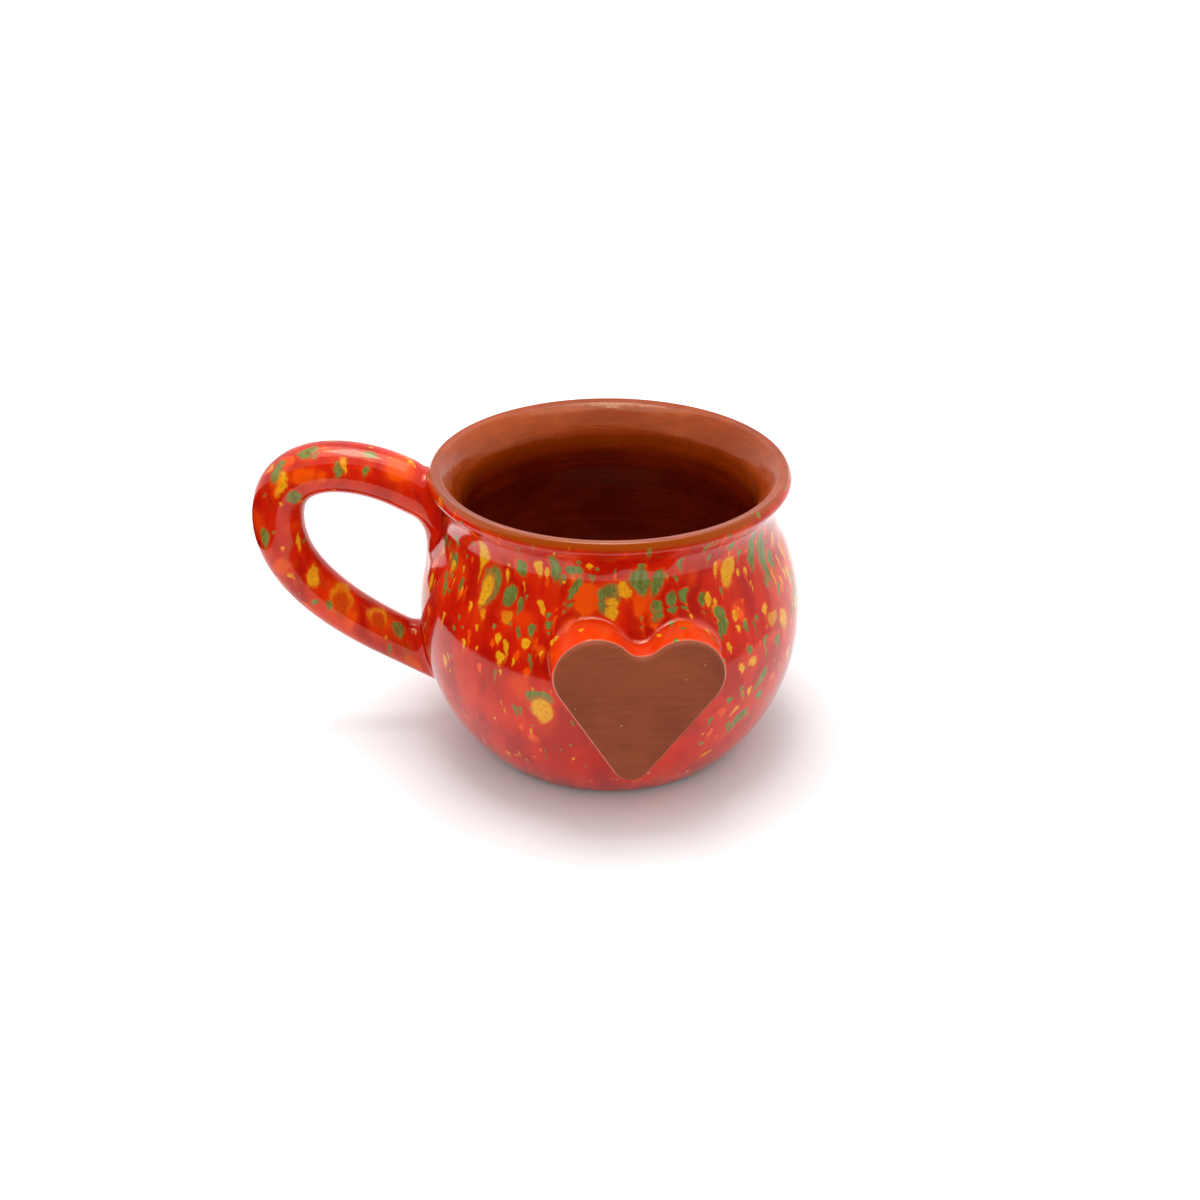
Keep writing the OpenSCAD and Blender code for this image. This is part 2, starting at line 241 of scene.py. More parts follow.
def note_on(mesh, name, values):
    """Keeps a number or a vector on each point, for a tree or a finish to read."""
    values = np.asarray(values, np.float32)
    kind, slot = ("FLOAT", "value") if values.ndim == 1 else ("FLOAT_VECTOR", "vector")
    mesh.attributes.new(name, kind, "POINT").data.foreach_set(slot, values.ravel())


def new_piece(name, mesh):
    piece = bpy.data.objects.new(name, mesh)
    bpy.context.scene.collection.objects.link(piece)
    return piece


def line_piece(name, points, **notes):
    """An object that holds a line of points in metres, with a note on each point for its tree."""
    mesh = bpy.data.meshes.new(name)
    mesh.from_pydata(points, [(i, i + 1) for i in range(len(points) - 1)], [])
    for note, values in notes.items():
        note_on(mesh, note, values)
    return new_piece(name, mesh)


def face_out(mesh):
    """Turns a closed mesh's faces outward if they point in."""
    solid = bmesh.new()
    solid.from_mesh(mesh)
    inside_out = solid.calc_volume(signed=True) < 0
    solid.free()
    if inside_out:
        mesh.flip_normals()


def shape_by(piece, tree, **sizes):
    """Runs a tree on a piece with the given sizes and keeps the result as its plain mesh."""
    modifier = piece.modifiers.new(tree.name, "NODES")
    modifier.node_group = tree
    for item in tree.interface.items_tree:
        if item.in_out == "INPUT" and item.name in sizes:
            modifier[item.identifier] = sizes[item.name]
    made = piece.evaluated_get(bpy.context.evaluated_depsgraph_get())
    mesh = bpy.data.meshes.new_from_object(made)
    piece.modifiers.clear()
    piece.data = mesh
    face_out(mesh)
    return piece


def throw(name, half_section, finish, ring_depth=0.0):
    """A thrown piece from its half section, in millimetres."""
    steps = np.hypot(*np.diff(half_section, axis=0).T)
    points = [(r * MM, 0, z * MM) for r, z in half_section]
    piece = line_piece(name, points, rise=np.concatenate([[0], np.cumsum(steps)]) * MM)
    return shape_by(piece, wheel, **{
        "Out of Round": out_of_round * MM, "Ring Depth": ring_depth * MM, "Finish": finish})


def step(value, low, high, to_low=0.0, to_high=1.0):
    """A smooth step from one value to another."""
    ends = [value, low, high, to_low, to_high]
    return put(value.tree, "ShaderNodeMapRange", ends, interpolation_type="SMOOTHSTEP")


def blend(share, first, second):
    return put(share.tree, "ShaderNodeMix", {0: share, 6: first, 7: second}, 2, data_type="RGBA")


def bump(height, strength, distance):
    return put(height.tree, "ShaderNodeBump", {"Strength": strength, "Distance": distance, "Height": height})


def new_finish(name):
    finish = bpy.data.materials.new(name)
    finish.use_nodes = True
    return finish, finish.node_tree, finish.node_tree.nodes["Principled BSDF"]


def own_place(tree):
    return put(tree, "ShaderNodeTexCoord", output="Object")


def specks(where, scale, outer, inner, rarity):
    """Round specks, at most one to a cell, from 0 at the outer size to 1 at the inner."""
    cell = put(where.tree, "ShaderNodeTexVoronoi", {"Vector": where, "Scale": scale})
    luck = put(where.tree, "ShaderNodeSeparateColor", [cell["Color"]])
    return step(cell["Distance"], outer, inner) * (luck > rarity)


# Fired red clay: matt and warm brown, a little lighter and darker in clouds, with fine grog,
# a few pale grains of lime and small dark pits.
terracotta, tree, shader = new_finish("terracotta")
clay_dark, clay_light = (0.220, 0.043, 0.012, 1), (0.300, 0.062, 0.018, 1)
lime_pale, pit_dark = (0.62, 0.36, 0.22, 1), (0.04, 0.012, 0.006, 1)
light_and_dark = 0.36, 0.64
where = own_place(tree)
cloud = noise(where, 70, 4, 0.6)
grog = noise(where, 1500, 3, 0.65)
wiped = noise(where * (0.08, 0.08, 1.0), 1400)
shade = cloud * 0.5 + (grog * 0.2 + wiped * 0.3)
lime = specks(where, 480, 0.10, 0.06, 0.84)
pits = specks(where + (0.3, 0.1, 0.7), 300, 0.13, 0.07, 0.95)
clay_colour = blend(step(shade, *light_and_dark), clay_dark, clay_light)
clay_colour = blend(lime, clay_colour, lime_pale)
clay_colour = blend(pits, clay_colour, pit_dark)
fill(shader, {
    "Base Color": clay_colour,
    "Roughness": step(grog, 0.3, 0.7, 0.58, 0.78),
    "Normal": bump(grog + noise(where, 350, 3) * 0.8 - pits, 0.25, 0.00012),
    "Specular IOR Level": 0.25,
})

foot = np.array([
    [0, 0], [foot_r * 0.5, 0], [foot_r - foot_edge, 0], [foot_r - foot_edge * 0.3, foot_edge * 0.12]])
pot_line = np.vstack([foot, outside(0, foot_edge, lip_inner), inside(0)])
pot = throw("pot_body_clay", pot_line, terracotta)
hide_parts("pot_body")
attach(pot, "root")

# Slip in the joints. Clay thinned with water to a cream, brushed on the scored wall to lute the
# handle and the heart on. It is fired with the pot and lies under the glaze, as does the coil.

slip_finish = terracotta.copy()
slip_finish.name = "slip"
for name in ("handle", "upper_handle_slip", "lower_handle_slip", "heart_slip"):
    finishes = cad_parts[name].data.materials
    finishes.clear()
    finishes.append(terracotta if name == "handle" else slip_finish)

# Heart. Cut from a rolled slab of the same clay and pressed on to the belly, a little askew.
# Its flat face was wiped clean of glaze, so it is bare clay with a softened edge.

heart_w, heart_h, lobe_r, tip_r, dip_r = 39, 37.2, 9.3, 4.5, 5
heart_z, heart_lean, heart_turn, face_y = 16.8, 4, 6, 52.5
face_edge, face_bare, coat = 1.0, 1.0, 0.4
heart_middle, heart_sunk, side_rows = 19.0, 0.6, 24

lobe_x, lobe_y = heart_w / 2 - lobe_r, heart_h - lobe_r
dip_y = lobe_y + sqrt((lobe_r + dip_r) ** 2 - lobe_x**2)
side_lean = acos((lobe_r - tip_r) / hypot(lobe_x, lobe_y - tip_r))
side_turn = degrees(atan2(tip_r - lobe_y, -lobe_x) + side_lean)
dip_turn = degrees(atan2(dip_y - lobe_y, -lobe_x))


def side_line(start, end, count):
    return start + (end - start) * (np.arange(count) / count)[:, None]


def heart_outline(grow):
    """The heart's outline, widened, as (across, height above its tip), with the lean in it."""
    right_lobe, left_lobe, tip_middle = (lobe_x, lobe_y), (-lobe_x, lobe_y), (0, tip_r)
    right = arc(right_lobe, lobe_r + grow, side_turn, dip_turn, 4)
    notch = arc((0, dip_y), dip_r - grow, dip_turn - 180, -dip_turn, 6)
    left = arc(left_lobe, lobe_r + grow, 180 - dip_turn, 180 - side_turn, 4)
    tip = arc(tip_middle, tip_r + grow, -180 - side_turn, side_turn, 7)
    left_side = side_line(on_arc(left_lobe, lobe_r + grow, 180 - side_turn), tip[0], side_rows)
    right_side = side_line(on_arc(tip_middle, tip_r + grow, side_turn), right[0], side_rows)
    points = np.vstack([right, notch, left, left_side, tip, right_side])
    lean = radians(-heart_lean)
    middle = np.array([0, heart_h / 2])
    return (points - middle) @ np.array([[cos(lean), sin(lean)], [-sin(lean), cos(lean)]]) + middle


def wall_depth(outline, grow):
    """Distance of the coated wall's front from the axis plane, at points of the heart's view."""
    line = outside(grow, 0.01, 90)
    return np.sqrt(np.interp(outline[:, 1] + heart_z, line[:, 1], line[:, 0]) ** 2 - outline[:, 0] ** 2)


def on_heart(outline, depth):
    """Points of the heart's view, at a depth in front of the axis, in the pot's own place."""
    turn = radians(heart_turn)
    x, z = outline[:, 0], outline[:, 1] + heart_z
    y = -np.broadcast_to(depth, x.shape)
    return np.column_stack([x * cos(turn) - y * sin(turn), x * sin(turn) + y * cos(turn), z])


def skin(name, rings, finish, ring_shut=True, line_shut=False, middles=()):
    """A mesh through rings of points, in millimetres, shut at its ends by the given middle points."""
    rings = np.array(rings)
    count, sides = rings.shape[:2]
    points = np.vstack([rings.reshape(-1, 3), *[np.reshape(m, (1, 3)) for m in middles]])
    faces = []
    for i in range(count if line_shut else count - 1):
        a, b = i * sides, (i + 1) % count * sides
        for s in range(sides if ring_shut else sides - 1):
            faces.append((a + s, a + (s + 1) % sides, b + (s + 1) % sides, b + s))
    for k, first in enumerate((0, (count - 1) * sides)[: len(middles)]):
        middle = count * sides + k
        for s in range(sides):
            edge = (first + s, first + (s + 1) % sides)
            faces.append((*edge[::-1], middle) if first == 0 else (*edge, middle))
    mesh = bpy.data.meshes.new(name)
    mesh.from_pydata((points * MM).tolist(), [], faces)
    mesh.shade_smooth()
    mesh.materials.append(finish)
    face_out(mesh)
    return new_piece(name, mesh)


# Rings from the middle of the face over its edge, down the side, and in under the wall's face
outline, face_line = heart_outline(0), heart_outline(-face_edge)
centre = np.array([[0, heart_middle]])
heart_back = wall_depth(outline, 0) - heart_sunk
heart_rings = []
for share in (0.06, 0.2, 0.4, 0.6, 0.8, 0.92):
    heart_rings.append(on_heart(centre + (face_line - centre) * share, face_y))
for turn in np.radians(np.linspace(90, 0, 7)):
    softened = heart_outline(-face_edge + face_edge * cos(turn))
    heart_rings.append(on_heart(softened, face_y - face_edge + face_edge * sin(turn)))
for share in (0.5, 1.0):
    heart_rings.append(on_heart(outline, (face_y - face_edge) * (1 - share) + heart_back * share))
for share in (0.7, 0.35, 0.1):
    inner = centre + (outline - centre) * share
    heart_rings.append(on_heart(inner, wall_depth(inner, 0) - heart_sunk))
ends = [on_heart(centre, face_y), on_heart(centre, wall_depth(centre, 0) - heart_sunk)]
heart = skin("heart_plaque_clay", heart_rings, terracotta, middles=ends)
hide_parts("heart_plaque")
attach(heart, "root")

# Red glaze. The mug was dipped in a glossy red and, while wet, sprinkled with grains of green,
# yellow and orange glaze. In the kiln these melted and ran down the wall, so each grain has a
# round head and a streaky tail. The coat is one skin over the pot, the handle and the heart's edge.

red_deep, red_base, red_bright = (0.46, 0.006, 0.0015, 1), (0.63, 0.013, 0.002, 1), (0.76, 0.030, 0.002, 1)
# Two colours for the heart's edge: a brighter orange on its flank, partly glaze thinned over the edge and
# partly painted light for the strong light from above; and a pale line along the bead, partly the glaze's
# thin edge and partly a painted highlight.
red_thin_and_lit, bead_pale_and_highlight = (0.94, 0.060, 0.004, 1), (0.60, 0.20, 0.12, 1)
grain_green, grain_moss = (0.135, 0.255, 0.055, 1), (0.085, 0.16, 0.028, 1)
grain_yellow, grain_ochre = (0.86, 0.43, 0.012, 1), (0.70, 0.24, 0.006, 1)
grain_orange, melt_orange = (0.90, 0.085, 0.002, 1), (0.80, 0.050, 0.002, 1)

# Steps as (from, to, value before, value after): by height up the wall, by streaks, by crowd and by tail
small_low, few_high = (22.0, 46.0, 0.62, 1.0), (69.0, 77.0, 1.0, 0.35)
combing, crowding, slimming = (0.36, 0.62, 0.6, 1.05), (0.36, 0.62, 0.55, 1.3), (0.0, 1.0, 1.0, 0.8)
wall_front, coil_front = (54, 70), (80, 100)
core_wide, core_high, core_edge = 0.46, 0.6, (1.05, 0.8)


def noted(tree, name, output="Fac"):
    return put(tree, "ShaderNodeAttribute", output=output, attribute_name=name)


def dip(name, swirled, grains_by, grains_r):
    """Starts a red glaze: its finish, how it ran, in millimetres, and its red in deep and bright clouds.
    Its grains lie by a note of their own, round an axis at a radius."""
    finish, tree, shader = new_finish(name)
    half, to_mm = (0.5, 0.5, 0.5), (1000, 1000, 1000)
    ran = noted(tree, "flow", "Vector") * to_mm
    swirl = noise(ran, 0.22, 2, 0.5, 1) - half
    ripple = noise(ran, 0.9, 2, 0.6, 1) - half
    drift = swirl * (swirled, swirled, swirled) + ripple * (0.8, 0.8, 1.2)
    warped = ran + drift
    streaks = noise(warped * (1.0, 1.0, 0.14), 1.5, 3, 0.6)
    mottle = noise(ran * (1, 1, 0.6), 2.2, 4, 0.65)
    cloud = noise(warped * (1, 1, 0.6), 0.13, 3, 0.5)
    red = blend(step(cloud, 0.36, 0.56), red_deep, red_base)
    red = blend(step(cloud, 0.54, 0.72) * 0.8, red, red_bright)
    # A note on the heart's edge turns the red towards a brighter orange out to the face: partly glaze thinned
    # over the edge, partly painted light on the flank.
    thin_and_lit_coat = noted(tree, "thin_and_lit_coat")
    red = blend(step(thin_and_lit_coat, 0.0, 0.6, 0.0, 0.75), red, red_thin_and_lit)
    # Along the bead the note is full and gives a pale line: partly the glaze's thin edge, partly a painted
    # highlight.
    red = blend(step(thin_and_lit_coat, 0.75, 1.0), red, bead_pale_and_highlight)
    return SimpleNamespace(
        finish=finish, tree=tree, shader=shader, ran=ran, warped=warped, streaks=streaks, mottle=mottle,
        grain_run=drift + noted(tree, grains_by, "Vector") * to_mm, grains_r=grains_r,
        on_wall=grains_by == "flow", speckle=noted(tree, "speckle"), colour=red,
        green=blend(step(streaks, 0.44, 0.60), grain_green, grain_moss),
        yellow=blend(step(mottle, 0.46, 0.64), grain_yellow, grain_ochre))


def length(*sides):
    """The length of the diagonal over sides at right angles."""
    return calc("SQRT", sum((side * side for side in sides[1:]), sides[0] * sides[0]))


def draw(*cell):
    """Three random numbers for a cell."""
    drawn = put(tree_of(cell), "ShaderNodeTexWhiteNoise", {"Vector": xyz(*cell)}, 1)
    return put(drawn.tree, "ShaderNodeSeparateColor", [drawn])


def drops(wet, columns, height, seed, size, tail, share, softness, strength, palette,
          halo=0.0, core="", low=0.42, front=1.0):
    """Grains that ran down, one to a cell, in columns round the pot or the coil. Size is the range of a
    head's radius, and tail that of a tail's length in radii. The palette gives the hue at which each colour
    starts, and halo how far a grain stained the red. A core is yellow, or bare in an arch. Low and front are
    the shares of grains low on the belly and on the front, where the largest are placed one by one."""
    around, width = wet.grains_r, 2 * pi * wet.grains_r / columns
    x, y, rise = split(wet.grain_run)
    turn = calc("ARCTAN2", y, x) * (columns / (2 * pi)) + columns / 2
    column = calc("FLOOR", turn)
    stagger = put(wet.tree, "ShaderNodeTexWhiteNoise", {"Vector": xyz(column, seed, 0.5)})
    level = rise * (1 / height) + stagger * 7.0
    row = calc("FLOOR", level)
    luck, girth, hue = draw(column, row, seed)
    long, left, up = draw(column, row, seed + 0.37)

    # The cell's middle, and the grain's size and place in it
    cell_rise = (level - row) * height
    middle = rise - cell_rise + height / 2
    radius = girth * (size[1] - size[0]) + size[0]
    if wet.on_wall:
        radius = radius * step(middle, *small_low)
    run = radius * (long * (tail[1] - tail[0]) + tail[0])
    across = (turn - column - 0.5) * width - (left - 0.5) * (width - radius * 2.0)
    above = cell_rise - ((height - run - radius) * up + run)

    # Far is 1 at the grain's edge, and down goes to 1 along its combed tail
    combed = run * step(wet.streaks, *combing)
    down = calc("MINIMUM", above, 0.0) * -1.0 / combed
    slim = radius * step(down, *slimming)
    far = length(across / slim, calc("MAXIMUM", above, 0.0) / radius, down)

    # Whether the cell has a grain
    centre_turn = column * (2 * pi / columns) + (pi / columns - pi)
    centre = xyz(calc("COSINE", centre_turn) * around, calc("SINE", centre_turn) * around, middle)
    chance = step(noise(centre, 0.07, 1, 0.5), *crowding) * (wet.speckle * share)
    if wet.on_wall:
        chance = chance * (step(middle, 36.0, 57.0, low, 1.15) * step(middle, *few_high))
    front_from, front_to = wall_front if wet.on_wall else coil_front
    from_front = calc("ABSOLUTE", centre_turn + pi / 2)
    chance = chance * step(from_front, radians(front_from), radians(front_to), front, 1.0)
    here = chance > luck

    # The grain's stain in the red, its colour, and its core
    seen = step(far, 1.0 - (calc("MINIMUM", down, 1.0) * 0.4 + softness), 1.0, 1.0, 0.0) * here
    if halo:
        wet.colour = blend(step(far, 0.85, 1.75, halo, 0.0) * here, wet.colour, melt_orange)
    colour = palette[0][1]
    for first, tone in palette[1:]:
        colour = blend(hue > first, colour, tone)
    if core == "bare":
        lower = radius * 0.5 + above
        arch = length(across / (radius * core_wide), calc("MAXIMUM", lower, 0.0) / (radius * core_high))
        seen = seen * (1.0 - step(arch, *core_edge))
    elif core == "yellow":
        lower = radius * 0.75 + above
        inner = length(across / (radius * core_wide), calc("MAXIMUM", lower, 0.0) / (radius * core_high),
                       calc("MINIMUM", lower, 0.0) / (combed * core_high))
        colour = blend(step(inner, *core_edge) * (long > 0.6), colour, wet.yellow)
    wet.colour = blend(seen * strength, wet.colour, colour)


def fire(wet):
    """Ends a red glaze: colour, gloss, and the slight waves of a thick coat."""
    fill(wet.shader, {
        "Base Color": wet.colour,
        "Roughness": step(wet.mottle, 0.3, 0.7, 0.05, 0.11),
        "Normal": bump(wet.mottle * 0.3 + noise(wet.ran, 0.35), 0.12, 0.00015),
        "IOR": 1.47,
        "Specular Tint": (1, 0.90, 0.70, 1),
    })


def mixed(wet, yellow_from, orange_from):
    return [(0, wet.green), (yellow_from, wet.yellow), (orange_from, grain_orange)]


wet = dip("speckled_red_glaze", 3, "flow", flow_r)
drops(wet, 26, 16, 3.1, (2.6, 4.6), (1.2, 2.2), 0.80, 0.8, 0.70, [(0, melt_orange)])
drops(wet, 34, 14, 7.7, (1.6, 3.2), (1.4, 2.6), 0.60, 0.55, 0.75, [(0, grain_orange)], front=0.6)
drops(wet, 96, 15, 29.3, (0.3, 0.7), (6, 16), 0.80, 0.5, 0.75,
      [(0, wet.yellow), (0.35, wet.green), (0.6, grain_orange)])
drops(wet, 34, 16, 11.3, (1.4, 2.8), (1.8, 4.4), 0.85, 0.22, 0.92,
      [(0, wet.green), (0.74, wet.yellow)], 0.45, "yellow", front=0.0)
drops(wet, 48, 13, 41.7, (0.9, 1.7), (2.0, 5.0), 0.80, 0.22, 0.92, mixed(wet, 0.58, 0.9), 0.45, front=0.12)
drops(wet, 62, 10, 17.9, (0.6, 1.2), (2.0, 5.0), 0.70, 0.22, 0.92, mixed(wet, 0.5, 0.88), 0.4, front=0.45)
drops(wet, 90, 6.5, 23.3, (0.35, 0.75), (1.4, 4.0), 0.50, 0.2, 0.9, mixed(wet, 0.5, 0.75), 0.3, low=0.8)


# One given grain: egg-shaped, soft below, and laid over the cover of those before it
one_grain = bpy.data.node_groups.new("one_grain", "ShaderNodeTree")
grain_inputs = ("Round", "Rise", "Across by Round", "Across by Rise", "Across from",
                "Up by Round", "Up by Rise", "Up from", "Crisp", "Cover")
given = inlets(one_grain, *((name, "Float", 0.0) for name in grain_inputs), gives=("Cover", "Float"))
across, along = (
    calc("MULTIPLY_ADD", given["Round"], given[way + " by Round"],
         calc("MULTIPLY_ADD", given["Rise"], given[way + " by Rise"], given[way + " from"]))
    for way in ("Across", "Up"))
across = across * calc("MULTIPLY_ADD", along, -0.3, 1.0)
far = calc("SQRT", calc("MULTIPLY_ADD", across, across, along * along))
edge = calc("MAXIMUM", calc("MULTIPLY_ADD", along, 0.5, 1.0), 0.4)
cover = (1.0 - far) * edge * given["Crisp"]
put(one_grain, "NodeGroupOutput", [calc("MAXIMUM", cover, given["Cover"])])


def lay_grains(wet, tone, grains, crisp=3.0, strength=0.92):
    """Large grains placed one by one. Each has its turn round the pot or the coil in degrees, its rise, half
    its width, its height and, unless it is upright, its lean in degrees."""
    x, y, rise = split(wet.grain_run)
    round_it = calc("ARCTAN2", y, x) * wet.grains_r
    cover = -9.0
    for turn, middle, half_wide, tall, *leans in grains:
        place, lean = (radians(turn) * wet.grains_r, middle), radians(sum(leans))
        across = np.array([cos(lean), sin(lean)]) / half_wide
        upward = np.array([-sin(lean), cos(lean)]) * 2 / tall
        cover = put(wet.tree, "ShaderNodeGroup", [
            round_it, rise, *across, -across @ place, *upward, -upward @ place, crisp, cover],
            node_tree=one_grain)
    stain = step(cover, -0.5 * crisp, 0.1 * crisp, 0.0, 0.4) * wet.speckle
    wet.colour = blend(stain, wet.colour, melt_orange)
    seen = step(cover, 0.0, 1.0, 0.0, strength) * wet.speckle
    wet.colour = blend(seen, wet.colour, tone)


# The largest grains on the front
lay_grains(wet, grain_orange, [(-98, 63, 3.5, 8), (-82, 61, 1.9, 6), (-48, 53.5, 1.1, 3.5)])
lay_grains(wet, grain_ochre, [(-123, 55, 1.8, 4), (-35, 48.5, 2.1, 4.5, -10)])
lay_grains(wet, wet.green, [
    (-132, 60, 3.1, 13, -10), (-124, 60, 1.9, 6, -5), (-120, 68, 1.9, 5.5, 10), (-108, 69.5, 1.4, 9.5),
    (-102, 69.5, 2.6, 4), (-102, 64.5, 1, 7.5, -30), (-91, 63, 3.2, 8), (-81, 66.5, 2.8, 9, 10),
    (-81, 71, 1.4, 3), (-76, 66, 1.6, 8, -20), (-76, 61, 0.9, 3.5), (-71, 61.5, 1.6, 4.5),
    (-67, 62, 1.3, 4), (-61, 60, 1, 4), (-56, 55.5, 1.5, 4), (-56, 52.5, 1.7, 5, 5),
    (-47, 50, 0.8, 5, 5), (-42, 51, 0.7, 2.5), (-40, 44, 0.6, 3.5), (-34, 42, 0.9, 4),
    (-47, 44, 1.1, 2.5), (-42, 34.5, 1.2, 8, -45), (-50, 24.5, 1.4, 9.5, -50), (-55, 33, 1.1, 2),
    (-50, 33, 0.9, 2), (-61, 28, 0.8, 3, -20), (-62, 21.5, 0.8, 1.5), (-109, 58, 1.1, 2.5),
    (-111, 37.5, 3.8, 4.5), (-38, 66.5, 1.7, 14, 5), (-31, 62.5, 1.9, 17.5, 5),
])
lay_grains(wet, wet.yellow, [
    (-133, 59, 1.9, 10, -10), (-136, 67.5, 1.8, 9, -10), (-114, 69, 1.1, 6), (-111, 68, 0.9, 4),
    (-90, 61, 1.7, 5.5), (-86, 64.5, 1.9, 5, 30), (-59, 59.5, 1.1, 4), (-50, 64.5, 2.5, 8, -5),
    (-46, 41, 1.6, 3), (-50, 40.5, 0.9, 3), (-52, 29, 0.8, 3, -30), (-47, 32.5, 0.7, 3, -10),
    (-59, 15.5, 0.7, 3, -35), (-55, 47, 0.7, 3), (-116, 50, 1.3, 4), (-112, 59.5, 0.7, 4.5, 30),
    (-110, 33.5, 2.8, 8),
])

# The glaze ends along a wavy line on the lip, lower at the front, and the clay shows above it
lip_clay, lip_bare_z, lip_side_rise, lip_wave = (0.33, 0.052, 0.003, 1), 72.8, 1.1, 0.0016
lip_front = -0.040, -0.022
where = own_place(wet.tree)
_, lip_depth, lip_height = split(where)
lip_line = step(lip_depth, *lip_front, lip_bare_z * MM, (lip_bare_z + lip_side_rise) * MM)
lip_line = (noise(where, 55, 3) - 0.5) * lip_wave + lip_line
wet.colour = blend(step(lip_height - lip_line, -0.0010, 0.0007), wet.colour, lip_clay)
lay_grains(wet, wet.green, [(-40, 78, 0.8, 1.5)])
fire(wet)
pot_glaze_finish = wet.finish

coil_flow_r, coil_brown = 6.2, (0.50, 0.085, 0.003, 1)
wet = dip("speckled_red_coil_glaze", 4, "coil_way", coil_flow_r)
drops(wet, 4, 22, 3.1, (3.0, 4.6), (1.2, 2.0), 0.9, 0.8, 0.7, [(0, melt_orange)])
drops(wet, 5, 16, 7.7, (2.0, 3.4), (1.2, 2.2), 0.7, 0.6, 0.8, [(0, grain_orange)], front=0.4)
_, _, coil_height = split(own_place(wet.tree))
stain = step(noise(wet.warped * (1, 1, 0.25), 0.35, 3), 0.52, 0.66, 0.0, 0.5)
stain = stain * step(coil_height, 0.060, 0.040, 0.25, 1.0)
wet.colour = blend(stain * wet.speckle, wet.colour, coil_brown)
drops(wet, 5, 15, 5.3, (1.9, 3.2), (1.4, 2.6), 0.65, 0.5, 0.75,
      [(0, wet.yellow), (0.8, wet.green)], 0.4, "bare", front=0.0)
drops(wet, 7, 11, 11.3, (0.9, 1.7), (1.6, 3.4), 0.70, 0.5, 0.75, mixed(wet, 0.74, 0.9), 0.5, front=0.0)
drops(wet, 10, 9, 17.9, (0.5, 1.1), (1.6, 3.6), 0.65, 0.5, 0.75, mixed(wet, 0.5, 0.78), 0.45, front=0.25)
drops(wet, 15, 6, 23.3, (0.3, 0.65), (1.5, 4.0), 0.45, 0.4, 0.75, mixed(wet, 0.5, 0.75), 0.4, front=0.8)

# The largest grains on the side of the coil that faces the front, some of them melted to an arch
coil_crisp, coil_strength, coil_red = 2.2, 0.85, (0.58, 0.032, 0.002, 1)
coil_grains = [
    (grain_orange, [
        (-85, -37.5, 3.1, 5.5, -90), (-45, -16, 3.6, 7, -80), (-25, -32.5, 1.2, 3),
        (-35, -39.5, 1.6, 4, -60), (-95, -86.5, 2.3, 8.5, 55)]),
    (wet.yellow, [
        (-70, -43, 1.7, 7.5, -30), (-65, -28, 1, 5, -95), (-125, -71, 1.7, 7.5, 40), (-135, -60, 0.8, 7, 10),
        (-130, -81.5, 3.6, 11, 55), (-140, -92.5, 2.9, 7.5, 55), (-10, -14.5, 0.8, 3, -60)]),
    (coil_red, [
        (-115, -82.5, 2.4, 10, 55), (-130, -93, 1.9, 6.5, 55), (-60, -44, 0.8, 4.5, -30)]),
    (wet.green, [
        (-30, -35.5, 1.7, 4, -90), (-75, -29.5, 1.1, 5, -95), (-70, -23, 1, 3.5, -90),
        (-35, -23, 1.7, 3, -90), (-45, -42, 1.4, 6, -45), (-120, -43.5, 2.3, 6.5, -40),
        (-65, -56.5, 1.6, 6), (-155, -60.5, 1, 2.5, 20), (-85, -76.5, 1.1, 2.5, 55),
        (-100, -80, 1.3, 3.5, 55), (-135, -98.5, 1.7, 5.5, 55), (-80, -99, 1, 4.5, 55)]),
]
for tone, grains in coil_grains:
    lay_grains(wet, tone, grains, coil_crisp, coil_strength)
fire(wet)
coil_glaze_finish = wet.finish


def rows_of(items, field):
    """A vector that a mesh holds for each of its points, one row a point."""
    values = np.empty(len(items) * 3)
    items.foreach_get(field, values)
    return values.reshape(-1, 3)


def points_of(mesh):
    return rows_of(mesh.vertices, "co") / MM


# The pot's own coat, from just above the foot to the lip, where it thins out
foot_bare, foot_lap, lip_glaze_turn, thin = 1.2, 0.15, 70, 0.06
lip_rows, lip_easing = 36, 15
lip_coat_turns = [-40, -20, 0, 15, 30, 45, 58, 65, 72, 82, 95, 110, 125, 140]
lip_coats = [0.4, 0.40, 0.40, 0.34, 0.30, 0.34, 0.45, 0.47, 0.38, 0.20, 0.09, 0.13, 0.30, 0.4]


def over_lip(start, end, extra):
    """A coat on the lip's roll, thin on its top and on its outer face, which it flattens."""
    even = np.arange(-70, 171)
    window = np.hanning(lip_easing)
    by_turn = np.convolve(np.interp(even, lip_coat_turns, lip_coats), window / window.sum(), "same")
    turns = np.linspace(start, end, lip_rows)
    return on_arc(lip_middle, lip_r + np.interp(turns, even, by_turn) + extra, turns)


coat_out = np.vstack([
    outside(coat, foot_bare, -flare_turn + 1)[:-2], over_lip(-flare_turn, lip_glaze_turn, 0)])
coat_in = outside(-thin, foot_bare - foot_lap, lip_glaze_turn + 2)
pot_coat = throw("pot_red_glaze", np.vstack([coat_out, coat_in[::-1], coat_out[:1]]), pot_glaze_finish)
note_on(pot_coat.data, "speckle", np.ones(len(pot_coat.data.vertices)))
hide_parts("pot_glaze")
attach(pot_coat, "root")

wall_line = outside(coat, 0.01, 90)
wall_steps = np.diff(wall_line, axis=0)
wall_run = np.concatenate([[0], np.cumsum(np.hypot(*wall_steps.T))])


